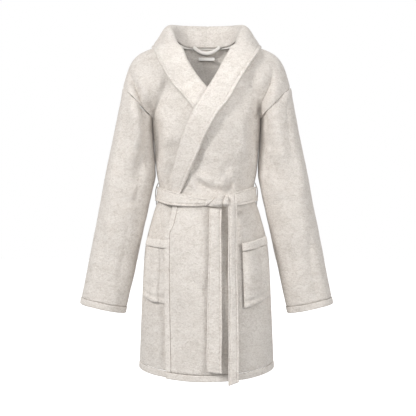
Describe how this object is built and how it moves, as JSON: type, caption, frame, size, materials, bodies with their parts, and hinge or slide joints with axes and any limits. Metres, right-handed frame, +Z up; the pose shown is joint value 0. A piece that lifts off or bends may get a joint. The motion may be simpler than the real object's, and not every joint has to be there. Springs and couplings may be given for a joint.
{
  "type": "bathrobe",
  "caption": "Short plush bathrobe in worn shape with shawl collar, wrap front, patch pockets, tied belt and hanger loop.",
  "frame": {"origin": "middle of the hanger loop inside the back neck, where a hook holds the robe", "axes": "+Z up, the front faces -Y, +X is the wearer's left"},
  "size_m": [0.705, 0.2682, 0.991],
  "materials": {
    "plush": "soft short pile",
    "stitched_edge": "soft short pile, pressed flat by a row of stitches",
    "belt_cloth": "soft short pile, stitched along both edges",
    "tape": "ribbed woven tape",
    "label": "smooth woven satin, blank"
  },
  "bodies": {
    "robe_body": {"back_panel": "plush", "front_panel_left": "plush", "front_panel_right": "plush", "front_band_left": "stitched_edge", "front_band_right": "stitched_edge", "hem_back": "stitched_edge", "hem_left": "stitched_edge", "hem_right": "stitched_edge", "collar_left": "plush", "collar_right": "plush", "pocket_left": "plush", "pocket_right": "plush", "pocket_cuff_left": "stitched_edge", "pocket_cuff_right": "stitched_edge", "belt_waist": "belt_cloth", "belt_knot": "belt_cloth", "belt_loop_left": "belt_cloth", "belt_loop_right": "belt_cloth", "neck_tape": "tape", "neck_label": "label"},
    "left_sleeve": {"sleeve_left": "plush", "sleeve_hem_left": "stitched_edge"},
    "right_sleeve": {"sleeve_right": "plush", "sleeve_hem_right": "stitched_edge"},
    "short_belt_end": {"belt_end_short": "belt_cloth"},
    "long_belt_end": {"belt_end_long": "belt_cloth"},
    "loop": {"hanger_loop": "tape"}
  },
  "joints": [
    {"name": "sleeve_left_lift", "type": "hinge", "parent": "robe_body", "child": "left_sleeve", "pos_m": [0.2349, -0.0542, -0.105], "axis": [0, -1, 0], "range_deg": [0, 50]},
    {"name": "sleeve_right_lift", "type": "hinge", "parent": "robe_body", "child": "right_sleeve", "pos_m": [-0.2349, -0.0542, -0.105], "axis": [0, 1, 0], "range_deg": [0, 50]},
    {"name": "belt_end_short_swing", "type": "hinge", "parent": "robe_body", "child": "short_belt_end", "pos_m": [0.024, -0.1793, -0.444], "axis": [-1, 0, 0], "range_deg": [0, 75]},
    {"name": "belt_end_long_swing", "type": "hinge", "parent": "robe_body", "child": "long_belt_end", "pos_m": [0.075, -0.1793, -0.413], "axis": [-1, 0, 0], "range_deg": [0, 75]},
    {"name": "hanger_loop_flip", "type": "hinge", "parent": "robe_body", "child": "loop", "pos_m": [0, 0, 0.0215], "axis": [-1, 0, 0], "range_deg": [0, 165]}
  ]
}
